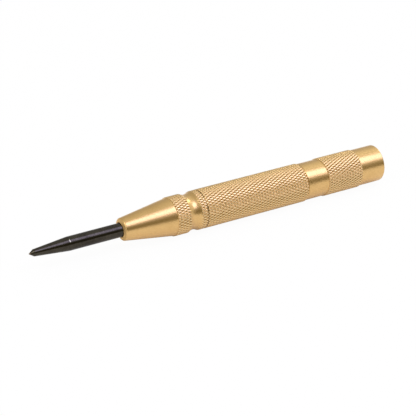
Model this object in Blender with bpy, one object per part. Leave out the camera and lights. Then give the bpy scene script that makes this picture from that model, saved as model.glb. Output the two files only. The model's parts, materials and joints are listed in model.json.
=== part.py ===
"""Automatic center punch, lying on its side with the point towards -X.

Every piece is turned about the tool's axis, or wound round it, so each one is
drawn as a half section of (place along the axis, radius) pairs.
"""

import math

import bmesh
import bpy
import numpy as np
from mathutils import Vector

MM = 0.001

# Clearance and roundness
GAP = 0.3 * MM
FACETS = 48
SLIM_FACETS = 32
ARC_STEPS = 5
EDGE_BREAK = 0.2 * MM

# Punch point
POINT_PROJECTION = 32.2 * MM
SHANK_RADIUS = 2.3 * MM
TIP_RADIUS = 1.15 * MM
TIP_HALF_ANGLE = math.radians(34.0)
TAPER_LENGTH = 11.85 * MM
FLANGE_THICKNESS = 1.5 * MM
TAIL_RADIUS = 1.4 * MM
TAIL_LENGTH = 5.0 * MM
CUP_DEPTH = 0.6 * MM

# Nose cone
NOSE_LENGTH = 28.6 * MM
MOUTH_RADIUS = 3.75 * MM
MOUTH_ROUND = 0.6 * MM
CONE_LENGTH = 17.6 * MM
CONE_END_RADIUS = 6.2 * MM
NOSE_BAND_RADIUS = 6.45 * MM
NOSE_BAND_LENGTH = 4.8 * MM
GROOVE_WIDTH = 4.2 * MM
GROOVE_DEPTH = 0.62 * MM
GUIDE_LENGTH = 14.8 * MM
CHAMBER_RADIUS = 3.2 * MM
MOUTH_CHAMFER = 0.4 * MM

# Screw threads
THREAD_RADIUS = 5.0 * MM
THREAD_PITCH = 1.0 * MM
THREAD_DEPTH = 0.6 * MM
THREAD_RELIEF = 0.65 * MM
NOSE_THREAD_LENGTH = 6.5 * MM
CAP_TRAVEL = 5.0 * MM
CAP_THREAD_HOLD = 2.0 * MM

# Barrel
GRIP_RADIUS = 6.5 * MM
BORE_RADIUS = 4.6 * MM
WEB_THICKNESS = 3.0 * MM
WEB_COUNTERSINK = 0.7 * MM

# Hammer and trip pin
STROKE = 8.0 * MM
HAMMER_LENGTH = 13.0 * MM
SPRING_NUB_LENGTH = 2.0 * MM
STEM_RADIUS = 1.3 * MM
SHOULDER_STEP = 0.25 * MM
SHOULDER_LENGTH = 2.5 * MM
SHOULDER_TAPER = 1.2 * MM
PIN_TILT = math.radians(2.5)

# Adjuster cap
CAP_BAND_RADIUS = 6.22 * MM
CAP_BAND_LENGTH = 7.95 * MM
CAP_KNURL_LENGTH = 13.9 * MM
CAP_TAIL_RADIUS = 6.2 * MM
CAP_TAIL_LENGTH = 9.25 * MM
CAP_END_ROUND = 0.3 * MM
CAP_BORE_RADIUS = 3.5 * MM
CAP_END_WALL = 8.4 * MM
SEAT_THICKNESS = 1.6 * MM

# Springs
MAIN_WIRE_RADIUS = 0.45 * MM
MAIN_TURNS = 14
RETURN_WIRE_RADIUS = 0.25 * MM
RETURN_TURNS = 8
POINTS_PER_TURN = 10
END_TURN_GAP = 0.5 * MM
LEAST_TURN_GAP = 0.4 * MM

# Radii that follow from a neighbour and the clearance
GUIDE_RADIUS = SHANK_RADIUS + GAP
FLANGE_RADIUS = CHAMBER_RADIUS - GAP
POCKET_RADIUS = THREAD_RADIUS + GAP
THREAD_ROOT = THREAD_RADIUS - THREAD_DEPTH
HAMMER_RADIUS = BORE_RADIUS - GAP
HAMMER_HOLE_RADIUS = STEM_RADIUS + GAP
SEAT_RADIUS = CAP_BORE_RADIUS - GAP
MAIN_COIL_RADIUS = CAP_BORE_RADIUS - GAP - MAIN_WIRE_RADIUS
NUB_RADIUS = MAIN_COIL_RADIUS - MAIN_WIRE_RADIUS - GAP
RETURN_FRONT_COIL = TAIL_RADIUS + GAP + RETURN_WIRE_RADIUS
RETURN_REAR_COIL = CHAMBER_RADIUS - GAP - RETURN_WIRE_RADIUS
CUP_RADIUS = TAIL_RADIUS - EDGE_BREAK
PIN_NOSE_RADIUS = CUP_RADIUS / 3
MOUTH_INNER_RADIUS = GUIDE_RADIUS + MOUTH_CHAMFER / 2

# Lengths that follow from the pieces held inside
CAP_THREAD_LENGTH = CAP_TRAVEL + CAP_THREAD_HOLD
CAP_LENGTH = CAP_BAND_LENGTH + CAP_KNURL_LENGTH + CAP_TAIL_LENGTH
NOSE_POCKET = NOSE_THREAD_LENGTH - GAP + THREAD_RELIEF
CAP_POCKET = CAP_THREAD_LENGTH - GAP + THREAD_RELIEF
HAMMER_ROOM = GAP + HAMMER_LENGTH + STROKE + GAP
BARREL_LENGTH = NOSE_POCKET + WEB_THICKNESS + HAMMER_ROOM + CAP_POCKET
OVERALL_LENGTH = POINT_PROJECTION + NOSE_LENGTH + GAP + BARREL_LENGTH + GAP + CAP_LENGTH

# Places along the axis, from the tip back to the end of the cap
TIP_X = -OVERALL_LENGTH / 2
MOUTH_X = TIP_X + POINT_PROJECTION
GUIDE_END_X = MOUTH_X + GUIDE_LENGTH
FLANGE_X = GUIDE_END_X + GAP
TAIL_X = FLANGE_X + FLANGE_THICKNESS
TAIL_END_X = TAIL_X + TAIL_LENGTH
NOSE_REAR_X = MOUTH_X + NOSE_LENGTH
NOSE_SCREW_END_X = NOSE_REAR_X + NOSE_THREAD_LENGTH
BARREL_X = NOSE_REAR_X + GAP
WEB_X = BARREL_X + NOSE_POCKET
WEB_END_X = WEB_X + WEB_THICKNESS
HAMMER_X = WEB_END_X + GAP
HAMMER_END_X = HAMMER_X + HAMMER_LENGTH
BARREL_END_X = BARREL_X + BARREL_LENGTH
CAP_POCKET_X = BARREL_END_X - CAP_POCKET
CAP_X = BARREL_END_X + GAP
CAP_SCREW_X = CAP_X - CAP_THREAD_LENGTH
CAP_END_X = CAP_X + CAP_LENGTH
CAP_BORE_END_X = CAP_END_X - CAP_END_WALL
SEAT_END_X = CAP_BORE_END_X - GAP
SEAT_X = SEAT_END_X - SEAT_THICKNESS

# The trip pin leans on the cup of the point and stops short of the hammer
PIN_X = TAIL_END_X - CUP_DEPTH + GAP
PIN_LENGTH = HAMMER_X - GAP - PIN_X
PIN_LEAN = PIN_LENGTH * math.sin(PIN_TILT)
SHOULDER_END = WEB_X - STROKE - GAP - PIN_X
WEB_HOLE_RADIUS = STEM_RADIUS + PIN_LEAN + GAP

# The grip lies on one flat facet
AXIS_HEIGHT = GRIP_RADIUS * math.cos(math.pi / FACETS)

BRASS = ("satin_brass", (0.62, 0.43, 0.16, 1.0), 0.35)
BLACK_STEEL = ("black_steel", (0.03, 0.03, 0.032, 1.0), 0.4)
HARD_STEEL = ("hard_steel", (0.45, 0.45, 0.46, 1.0), 0.3)
SPRING_STEEL = ("spring_steel", (0.35, 0.35, 0.36, 1.0), 0.35)


def finish_material(node_name, finish):
    """One metal material for one piece."""
    finish_name, colour, roughness = finish
    material = bpy.data.materials.new(f"{node_name}_{finish_name}")
    material.use_nodes = True
    shader = material.node_tree.nodes["Principled BSDF"]
    shader.inputs["Base Color"].default_value = colour
    shader.inputs["Metallic"].default_value = 1.0
    shader.inputs["Roughness"].default_value = roughness
    return material


def place(obj, node_name, finish, axis):
    """Gives the piece its finish and hangs it on the tool's axis."""
    obj.data.materials.append(finish_material(node_name, finish))
    obj.parent = axis
    bpy.context.scene.collection.objects.link(obj)
    return obj


def arc(centre, radius, start, end, steps=ARC_STEPS):
    """Points on a circle in the half section, angles in degrees."""
    angles = np.radians(np.linspace(start, end, steps + 1))
    return [(centre[0] + radius * math.cos(a), centre[1] + radius * math.sin(a)) for a in angles]


def rim(place_x, radius, size, side):
    """A broken edge: side -1 is the front edge of a band, 1 its rear edge."""
    low = (place_x, radius - size)
    high = (place_x - side * size, radius)
    return [low, high] if side < 0 else [high, low]


def ring(mesh, place_x, radius, facets):
    """One circle of points, or the single point on the axis."""
    if radius == 0.0:
        return [mesh.verts.new((place_x, 0.0, 0.0))]
    turns = [(k + 0.5) * 2 * math.pi / facets for k in range(facets)]
    return [mesh.verts.new((place_x, radius * math.cos(a), radius * math.sin(a))) for a in turns]


def join_rings(mesh, first, second):
    """Plain faces between two circles of points."""
    count = max(len(first), len(second))
    for k in range(count):
        following = (k + 1) % count
        corners = [first[k % len(first)], first[following % len(first)]]
        corners += [second[following % len(second)], second[k % len(second)]]
        mesh.faces.new(list(dict.fromkeys(corners)))


def join_thread(mesh, first, second):
    """A right-hand V thread between two circles of points at the thread's root."""
    facets = len(first)
    start = first[0].co.x
    end = second[0].co.x
    columns = []
    for k in range(facets):
        angle = (k + 0.5) * 2 * math.pi / facets
        column = [(-math.inf, first[k])]
        for half_turn in range(-2, 2 * math.ceil((end - start) / THREAD_PITCH) + 1):
            place_x = start + THREAD_PITCH * (half_turn / 2 + k / facets)
            if start + THREAD_PITCH / 8 < place_x < end - THREAD_PITCH / 8:
                radius = THREAD_RADIUS if half_turn % 2 else THREAD_ROOT
                point = (place_x, radius * math.cos(angle), radius * math.sin(angle))
                column.append((half_turn, mesh.verts.new(point)))
        columns.append(column + [(math.inf, second[k])])
    columns.append([(half_turn - 2, vert) for half_turn, vert in columns[0]])
    for left, right in zip(columns, columns[1:]):
        i = 0
        j = 0
        while i + 1 < len(left) or j + 1 < len(right):
            left_next = left[i + 1][0] if i + 1 < len(left) else math.nan
            right_next = right[j + 1][0] if j + 1 < len(right) else math.nan
            corners = [left[i][1], right[j][1]]
            step_left = left_next == left_next and not left_next > right_next
            step_right = right_next == right_next and not right_next > left_next
            if step_right:
                j += 1
                corners.append(right[j][1])
            if step_left:
                i += 1
                corners.append(left[i][1])
            mesh.faces.new(corners)


def turned(node_name, section, finish, axis, facets=FACETS, closed=False, thread_at=None):
    """Turns a half section about the axis.

    closed joins the last point to the first, for a piece with a hole right
    through it. thread_at is the number of the stretch that carries the thread.
    """
    mesh = bmesh.new()
    rings = [ring(mesh, place_x, radius, facets) for place_x, radius in section]
    pairs = list(zip(rings, rings[1:]))
    if closed:
        pairs.append((rings[-1], rings[0]))
    for number, (first, second) in enumerate(pairs):
        if number == thread_at:
            join_thread(mesh, first, second)
        else:
            join_rings(mesh, first, second)
    bmesh.ops.recalc_face_normals(mesh, faces=mesh.faces)
    data = bpy.data.meshes.new(node_name)
    mesh.to_mesh(data)
    mesh.free()
    for face in data.polygons:
        face.use_smooth = True
    data.set_sharp_from_angle(angle=math.radians(25.0))
    return place(bpy.data.objects.new(node_name, data), node_name, finish, axis)


def turn_gap(points, wire_radius):
    """The least clear distance between neighbouring turns of a coil."""
    near = POINTS_PER_TURN // 2
    least = math.inf
    for k, point in enumerate(points):
        for other in points[k + near :]:
            least = min(least, (point - other).length - 2 * wire_radius)
    return least


def coil_points(start, end, front_radius, rear_radius, wire_radius, turns):
    """The middle of the wire: close end turns and evenly open turns between."""
    first = start + wire_radius
    length = end - start - 2 * wire_radius
    end_pitch = 2 * wire_radius + END_TURN_GAP
    open_pitch = (length - 2 * end_pitch) / (turns - 2)
    points = []
    for k in range(turns * POINTS_PER_TURN + 1):
        turn = k / POINTS_PER_TURN
        near_end = min(turn, 1.0) + max(turn - turns + 1.0, 0.0)
        along = end_pitch * near_end + open_pitch * min(max(turn - 1.0, 0.0), turns - 2.0)
        radius = front_radius + (rear_radius - front_radius) * turn / turns
        angle = 2 * math.pi * turn
        points.append(Vector((first + along, radius * math.cos(angle), radius * math.sin(angle))))
    return points


def coil(node_name, points, wire_radius, finish, axis):
    """Bends a round wire along the points."""
    least = turn_gap(points, wire_radius)
    print(f"{node_name}: least gap between turns {least / MM:.2f} mm")
    assert least > LEAST_TURN_GAP, f"{node_name} has turns that nearly touch"
    curve = bpy.data.curves.new(node_name, "CURVE")
    curve.dimensions = "3D"
    curve.bevel_depth = wire_radius
    curve.bevel_resolution = 1
    curve.use_fill_caps = True
    spline = curve.splines.new("POLY")
    spline.points.add(len(points) - 1)
    for control, point in zip(spline.points, points):
        control.co = (*point, 1.0)
    return place(bpy.data.objects.new(node_name, curve), node_name, finish, axis)


def punch_point(axis):
    """The hardened point, its stop flange and the tail that carries the trip pin."""
    tip_length = TIP_RADIUS / math.tan(TIP_HALF_ANGLE)
    section = [(TIP_X, 0.0), (TIP_X + tip_length, TIP_RADIUS)]
    section += [(TIP_X + tip_length + TAPER_LENGTH, SHANK_RADIUS), (FLANGE_X, SHANK_RADIUS)]
    section += rim(FLANGE_X, FLANGE_RADIUS, EDGE_BREAK, -1)
    section += rim(TAIL_X, FLANGE_RADIUS, EDGE_BREAK, 1)
    section += [(TAIL_X, TAIL_RADIUS), *rim(TAIL_END_X, TAIL_RADIUS, EDGE_BREAK / 2, 1)]
    section += [(TAIL_END_X, CUP_RADIUS), (TAIL_END_X - CUP_DEPTH, 0.0)]
    return turned("punch_point", section, BLACK_STEEL, axis, SLIM_FACETS)


def nose_cone(axis):
    """The brass cone that guides the point and screws into the barrel."""
    band_x = MOUTH_X + CONE_LENGTH
    groove_x = band_x + NOSE_BAND_LENGTH
    groove_end_x = groove_x + GROOVE_WIDTH
    half_width = GROOVE_WIDTH / 2
    groove_round = (half_width**2 + GROOVE_DEPTH**2) / (2 * GROOVE_DEPTH)
    sweep = math.degrees(math.asin(half_width / groove_round))
    groove_centre = (groove_x + half_width, NOSE_BAND_RADIUS - GROOVE_DEPTH + groove_round)
    lip_round = min(MOUTH_ROUND, MOUTH_RADIUS - MOUTH_INNER_RADIUS - EDGE_BREAK)
    slope = math.atan2(CONE_END_RADIUS - MOUTH_RADIUS, CONE_LENGTH - lip_round)
    lip_centre = (MOUTH_X + lip_round, MOUTH_RADIUS - lip_round)
    section = [(MOUTH_X, MOUTH_INNER_RADIUS)]
    section += arc(lip_centre, lip_round, 180.0, 90.0 + math.degrees(slope), ARC_STEPS)
    section += [(band_x - GAP, CONE_END_RADIUS), (band_x, CONE_END_RADIUS)]
    section += [(band_x + EDGE_BREAK, NOSE_BAND_RADIUS)]
    section += arc(groove_centre, groove_round, 270.0 - sweep, 270.0 + sweep, 2 * ARC_STEPS)
    section += rim(NOSE_REAR_X, NOSE_BAND_RADIUS, EDGE_BREAK, 1)
    thread_at = len(section) + 1
    section += [(NOSE_REAR_X, THREAD_ROOT), (NOSE_REAR_X + THREAD_RELIEF, THREAD_ROOT)]
    section += [(NOSE_SCREW_END_X - EDGE_BREAK, THREAD_ROOT)]
    section += [(NOSE_SCREW_END_X, THREAD_ROOT - EDGE_BREAK), (NOSE_SCREW_END_X, CHAMBER_RADIUS)]
    section += [(GUIDE_END_X, CHAMBER_RADIUS), (GUIDE_END_X, GUIDE_RADIUS)]
    section += [(MOUTH_X + MOUTH_CHAMFER, GUIDE_RADIUS)]
    return turned("nose_cone", section, BRASS, axis, closed=True, thread_at=thread_at)


def barrel(axis):
    """The grip, with a screw pocket at each end and the web that stops the hammer."""
    section = rim(BARREL_X, GRIP_RADIUS, EDGE_BREAK, -1)
    section += rim(BARREL_END_X, GRIP_RADIUS, EDGE_BREAK, 1)
    section += [(BARREL_END_X, POCKET_RADIUS), (CAP_POCKET_X, POCKET_RADIUS)]
    section += [(CAP_POCKET_X, BORE_RADIUS), (WEB_END_X, BORE_RADIUS)]
    section += [(WEB_END_X, WEB_HOLE_RADIUS), (WEB_X + WEB_COUNTERSINK, WEB_HOLE_RADIUS)]
    section += [(WEB_X, WEB_HOLE_RADIUS + WEB_COUNTERSINK)]
    section += [(WEB_X, POCKET_RADIUS), (BARREL_X, POCKET_RADIUS)]
    return turned("barrel", section, BRASS, axis, closed=True)


def adjuster_cap(axis):
    """The screwed cap that sets the main spring, with its knurled turning band."""
    knurl_x = CAP_X + CAP_BAND_LENGTH
    knurl_end_x = knurl_x + CAP_KNURL_LENGTH
    end_centre = (CAP_END_X - CAP_END_ROUND, CAP_TAIL_RADIUS - CAP_END_ROUND)
    section = [(CAP_BORE_END_X, 0.0), (CAP_BORE_END_X, CAP_BORE_RADIUS)]
    section += [(CAP_SCREW_X, CAP_BORE_RADIUS), (CAP_SCREW_X, THREAD_ROOT - EDGE_BREAK)]
    thread_at = len(section)
    section += [(CAP_SCREW_X + EDGE_BREAK, THREAD_ROOT), (CAP_X - THREAD_RELIEF, THREAD_ROOT)]
    section += [(CAP_X, THREAD_ROOT), *rim(CAP_X, CAP_BAND_RADIUS, EDGE_BREAK, -1)]
    section += [(knurl_x, CAP_BAND_RADIUS), (knurl_x + EDGE_BREAK, GRIP_RADIUS)]
    section += [(knurl_end_x - EDGE_BREAK, GRIP_RADIUS), (knurl_end_x, CAP_TAIL_RADIUS)]
    section += arc(end_centre, CAP_END_ROUND, 90.0, 0.0)
    section += [(CAP_END_X, 0.0)]
    return turned("adjuster_cap", section, BRASS, axis, thread_at=thread_at)


def hammer(axis):
    """The sliding weight, drilled for the stem of the trip pin."""
    hole_depth = HAMMER_LENGTH - SPRING_NUB_LENGTH
    hole_end_x = HAMMER_X + hole_depth
    section = [(hole_end_x, 0.0), (hole_end_x, HAMMER_HOLE_RADIUS), (HAMMER_X, HAMMER_HOLE_RADIUS)]
    section += rim(HAMMER_X, HAMMER_RADIUS, EDGE_BREAK, -1)
    section += rim(HAMMER_END_X, HAMMER_RADIUS, EDGE_BREAK, 1)
    nub_end_x = HAMMER_END_X + SPRING_NUB_LENGTH
    section += [(HAMMER_END_X, NUB_RADIUS), *rim(nub_end_x, NUB_RADIUS, EDGE_BREAK, 1)]
    section += [(nub_end_x, 0.0)]
    return turned("hammer", section, HARD_STEEL, axis)


def trip_pin(axis):
    """The leaning pin between the point and the hammer."""
    shoulder_radius = STEM_RADIUS + SHOULDER_STEP
    shoulder_start = SHOULDER_END - SHOULDER_LENGTH
    section = [(0.0, 0.0), (0.0, PIN_NOSE_RADIUS), (CUP_DEPTH, STEM_RADIUS)]
    section += [(shoulder_start, STEM_RADIUS), (shoulder_start + SHOULDER_STEP, shoulder_radius)]
    section += [(SHOULDER_END, shoulder_radius), (SHOULDER_END + SHOULDER_TAPER, STEM_RADIUS)]
    section += [*rim(PIN_LENGTH, STEM_RADIUS, EDGE_BREAK, 1), (PIN_LENGTH, 0.0)]
    pin = turned("trip_pin", section, HARD_STEEL, axis, SLIM_FACETS)
    pin.location = (PIN_X, 0.0, 0.0)
    pin.rotation_euler = (0.0, PIN_TILT, 0.0)
    return pin


def spring_seat(axis):
    """The disc that lets the cap turn against the main spring."""
    nub_x = SEAT_X - SPRING_NUB_LENGTH
    section = [(nub_x, 0.0), *rim(nub_x, NUB_RADIUS, EDGE_BREAK, -1), (SEAT_X, NUB_RADIUS)]
    section += rim(SEAT_X, SEAT_RADIUS, EDGE_BREAK, -1)
    section += rim(SEAT_END_X, SEAT_RADIUS, EDGE_BREAK, 1)
    section += [(SEAT_END_X, 0.0)]
    return turned("spring_seat", section, HARD_STEEL, axis)


def main_spring(axis):
    """The strong spring between the hammer and the seat in the cap."""
    start = HAMMER_END_X + GAP
    end = SEAT_X - GAP
    radius = MAIN_COIL_RADIUS
    points = coil_points(start, end, radius, radius, MAIN_WIRE_RADIUS, MAIN_TURNS)
    return coil("main_spring", points, MAIN_WIRE_RADIUS, SPRING_STEEL, axis)


def return_spring(axis):
    """The light cone-shaped spring between the flange of the point and the web."""
    start = TAIL_X + GAP
    end = WEB_X - GAP
    radii = (RETURN_FRONT_COIL, RETURN_REAR_COIL)
    points = coil_points(start, end, *radii, RETURN_WIRE_RADIUS, RETURN_TURNS)
    return coil("return_spring", points, RETURN_WIRE_RADIUS, SPRING_STEEL, axis)


for leftover in list(bpy.data.objects):
    bpy.data.objects.remove(leftover)

tool_axis = bpy.data.objects.new("tool_axis", None)
tool_axis.location = (0.0, 0.0, AXIS_HEIGHT)
bpy.context.scene.collection.objects.link(tool_axis)

punch_point(tool_axis)
nose_cone(tool_axis)
return_spring(tool_axis)
trip_pin(tool_axis)
barrel(tool_axis)
hammer(tool_axis)
main_spring(tool_axis)
spring_seat(tool_axis)
adjuster_cap(tool_axis)
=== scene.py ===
"""The looks of an automatic center punch: knurled brass, a black point and the works inside.

Every piece is turned about the tool's axis or wound round it. Each one but the two pieces of the main spring
keeps its object's origin on that axis, so that the finishes can follow the lathe marks by object
coordinates.
"""

import json
import logging
import math
from dataclasses import dataclass, field
from enum import Enum

import bmesh
import bpy
import numpy as np
from bpy.types import Material, Mesh, Object
from mathutils import Matrix, Vector


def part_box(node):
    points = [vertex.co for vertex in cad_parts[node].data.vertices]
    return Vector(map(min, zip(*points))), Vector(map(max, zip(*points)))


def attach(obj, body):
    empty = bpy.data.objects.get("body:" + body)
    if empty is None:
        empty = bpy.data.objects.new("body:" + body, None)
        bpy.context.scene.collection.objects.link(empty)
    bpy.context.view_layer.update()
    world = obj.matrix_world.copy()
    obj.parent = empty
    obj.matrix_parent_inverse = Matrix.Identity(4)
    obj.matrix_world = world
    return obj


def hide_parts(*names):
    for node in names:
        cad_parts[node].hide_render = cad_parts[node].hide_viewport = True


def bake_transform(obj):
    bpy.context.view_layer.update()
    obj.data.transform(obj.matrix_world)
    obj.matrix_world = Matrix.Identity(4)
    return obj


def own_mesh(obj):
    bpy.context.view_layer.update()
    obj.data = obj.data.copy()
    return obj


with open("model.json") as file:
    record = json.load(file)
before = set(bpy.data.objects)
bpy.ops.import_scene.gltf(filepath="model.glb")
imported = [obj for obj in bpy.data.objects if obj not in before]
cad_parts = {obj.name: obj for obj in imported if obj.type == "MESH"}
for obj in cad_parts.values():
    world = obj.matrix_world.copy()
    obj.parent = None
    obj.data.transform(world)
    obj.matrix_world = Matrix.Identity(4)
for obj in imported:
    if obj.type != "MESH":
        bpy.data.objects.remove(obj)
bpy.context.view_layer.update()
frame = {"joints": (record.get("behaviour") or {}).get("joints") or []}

LOG = logging.getLogger("center_punch")
MM = 0.001
GRIP_LOW, GRIP_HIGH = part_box("barrel")
AXIS_Z = (GRIP_LOW.z + GRIP_HIGH.z) / 2
AXIS = Vector((0.0, 0.0, AXIS_Z))

# The seam that the solids leave at a screwed joint, and how far each side closes it here
SEAM = 0.3 * MM
CLOSER = 0.05 * MM

# The plain strip beside a knurled band
LAND = 0.3 * MM

# How finely round surfaces are cut, and the angle from which an edge is sharp
PLAIN_COLUMNS = 128
ARC_STEPS = 12
SHARP_ANGLE = math.radians(32.0)

# How corners are rounded: parts of the curve, its size, and the most it takes of a side
CORNER_STEPS = 3
CORNER_ROUND = 0.1 * MM
CORNER_SHARE = 0.4

# What the meshes carry: the knurl mark that the brass reads (dirt with painted shade in the grooves, wear
# with a painted sheen on the crests), and the map for baking
DIRT_SHADE_SHEEN = "knurl_dirt_shade_sheen"
MAP_NAME = "OFBake"

# The middle value of a noise
MIDDLE = 0.5

# A corner of a half section: its place along the axis and its radius
Station = tuple[float, float]

# A corner of a face: its point's number, and its column and length on the map
Corner = tuple[int, float, float]

# Where a smooth step starts and ends
Range = tuple[float, float]

Colour = tuple[float, float, float]


class Slot(Enum):
    """The record's material slots."""

    BRASS = "satin_brass"
    BLACK = "black_steel"
    HARD = "hard_steel"
    SPRING = "spring_steel"


class Body(Enum):
    """The bodies that the pieces ride on."""

    HOUSING = "housing"
    POINT = "point"
    PIN = "pin"
    STRIKER = "striker"
    SEAT = "seat"
    CAP = "cap"


@dataclass(frozen=True)
class Span:
    """Where a CAD node lies along the axis."""

    start: float
    end: float

    @classmethod
    def of(cls, node: str) -> "Span":
        """Reads a CAD node's span from the frame."""
        low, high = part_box(node)
        return cls(low.x, high.x)


@dataclass
class Signal:
    """One output socket in an expression. Each operator adds a Math node."""

    graph: "Graph"
    socket: bpy.types.NodeSocket

    def _math(self, operation: str, first: "Value", second: "Value") -> "Signal":
        """Adds one Math node."""
        return self.graph.node("ShaderNodeMath", {"operation": operation}, {0: first, 1: second})[0]

    def __add__(self, other: "Value") -> "Signal":
        """Sum."""
        return self._math("ADD", self, other)

    def __radd__(self, other: "Value") -> "Signal":
        """Reflected sum."""
        return self._math("ADD", other, self)

    def __sub__(self, other: "Value") -> "Signal":
        """Difference."""
        return self._math("SUBTRACT", self, other)

    def __rsub__(self, other: "Value") -> "Signal":
        """Reflected difference."""
        return self._math("SUBTRACT", other, self)

    def __mul__(self, other: "Value") -> "Signal":
        """Product."""
        return self._math("MULTIPLY", self, other)

    def __rmul__(self, other: "Value") -> "Signal":
        """Reflected product."""
        return self._math("MULTIPLY", other, self)

    def __pow__(self, other: "Value") -> "Signal":
        """Power."""
        return self._math("POWER", self, other)

    def __rpow__(self, other: "Value") -> "Signal":
        """Reflected power."""
        return self._math("POWER", other, self)


Value = Signal | float | tuple[float, ...]


@dataclass
class Node:
    """A node that was added to a graph."""

    graph: "Graph"
    node: bpy.types.Node

    def __getitem__(self, output: str | int) -> Signal:
        """One of the node's outputs, by name or number."""
        return Signal(self.graph, self.node.outputs[output])


class Graph:
    """A node tree that is filled from the start."""

    def __init__(self, tree: bpy.types.NodeTree) -> None:
        """Empties the tree."""
        self.tree = tree
        tree.nodes.clear()

    def node(
        self,
        kind: str,
        settings: dict[str, object] | None = None,
        inputs: dict[str | int, Value] | None = None,
    ) -> Node:
        """Adds one node.

        Args:
            kind: Blender's name of the node type.
            settings: the node's own properties, set first.
            inputs: a value or a link for each socket, by name or number; colours get full alpha.

        Returns:
            The node, whose outputs are read by name or number.
        """
        made = self.tree.nodes.new(kind)
        for name, value in (settings or {}).items():
            setattr(made, name, value)
        for name, value in (inputs or {}).items():
            socket = made.inputs[name]
            if isinstance(value, Signal):
                self.tree.links.new(value.socket, socket)
            else:
                socket.default_value = (*value, 1.0) if socket.type == "RGBA" else value
        return Node(self, made)

    def mix(self, share: Value, first: Value, second: Value) -> Signal:
        """Mixes two colours: share 0 gives the first one and share 1 the second."""
        return self.node("ShaderNodeMix", {"data_type": "RGBA"}, {0: share, 6: first, 7: second})[2]

    def noise(self, place: Value, size: float, detail: float = 2.0) -> Signal:
        """Even noise in space, with blots of a size in metres and finer layers of detail."""
        inputs = {"Vector": place, "Scale": 1.0 / size, "Detail": detail}
        return self.node("ShaderNodeTexNoise", {}, inputs)["Fac"]

    def step(self, value: Value, between: Range) -> Signal:
        """A smooth step from 0 to 1 over a range, which may run downwards."""
        inputs = {"Value": value, "From Min": between[0], "From Max": between[1]}
        return self.node("ShaderNodeMapRange", {"interpolation_type": "SMOOTHSTEP"}, inputs)[0]


@dataclass
class Texture:
    """What a finish is mixed from: its node tree, the place on the piece, and the noises over it."""

    graph: Graph
    axes: Node
    radius: Signal
    marks: Signal
    grain: Signal
    smudge: Signal


@dataclass(frozen=True)
class MetalFinish:
    """What all the metals share: lathe marks, fine grain and handling smudges."""

    slot: Slot
    colour: Colour
    dark_colour: Colour
    roughness: float
    mark_pitch: float = 0.09 * MM
    mark_detail: float = 3.0
    mark_height: float = 0.002 * MM
    mark_gloss: float = 0.1
    grain_size: float = 0.4 * MM
    grain_height: float = 0.01 * MM
    smudge_size: float = 4.0 * MM
    smudge_detail: float = 3.0
    smudge_range: Range = (0.3, 0.8)
    smudge_gloss: float = 0.1

    def material(self) -> Material:
        """Makes the finish.

        Returns:
            A node material named after the slot.
        """
        made = bpy.data.materials.new(self.slot.value)
        made.use_nodes = True
        graph = Graph(made.node_tree)
        place = graph.node("ShaderNodeTexCoord")["Object"]
        axes = graph.node("ShaderNodeSeparateXYZ", {}, {"Vector": place})
        radius = (axes["Y"] * axes["Y"] + axes["Z"] * axes["Z"]) ** 0.5
        passes = (axes["X"] + radius) * (1.0 / self.mark_pitch)
        lines = {"W": passes, "Scale": 1.0, "Detail": self.mark_detail}
        marks = graph.node("ShaderNodeTexNoise", {"noise_dimensions": "1D"}, lines)["Fac"]
        grain = graph.noise(place, self.grain_size)
        smudge = graph.noise(place, self.smudge_size, self.smudge_detail)
        colour, roughness = self.surface(Texture(graph, axes, radius, marks, grain, smudge))
        height = marks * self.mark_height + grain * self.grain_height
        bump = graph.node("ShaderNodeBump", {}, {"Distance": 1.0, "Height": height})
        inputs = {"Base Color": colour, "Metallic": 1.0, "Roughness": roughness, "Normal": bump["Normal"]}
        shader = graph.node("ShaderNodeBsdfPrincipled", {}, inputs)
        graph.node("ShaderNodeOutputMaterial", {}, {"Surface": shader["BSDF"]})
        return made

    def gloss(self, texture: Texture) -> Signal:
        """Roughness that varies with the lathe marks and the smudges."""
        turned = self.roughness + (texture.marks - MIDDLE) * self.mark_gloss
        return turned + (texture.smudge - MIDDLE) * self.smudge_gloss

    def surface(self, texture: Texture) -> tuple[Signal, Signal]:
        """Mixes the colour and the roughness of a plain turned metal."""
        handled = texture.graph.step(texture.smudge, self.smudge_range)
        return texture.graph.mix(handled, self.colour, self.dark_colour), self.gloss(texture)


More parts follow.
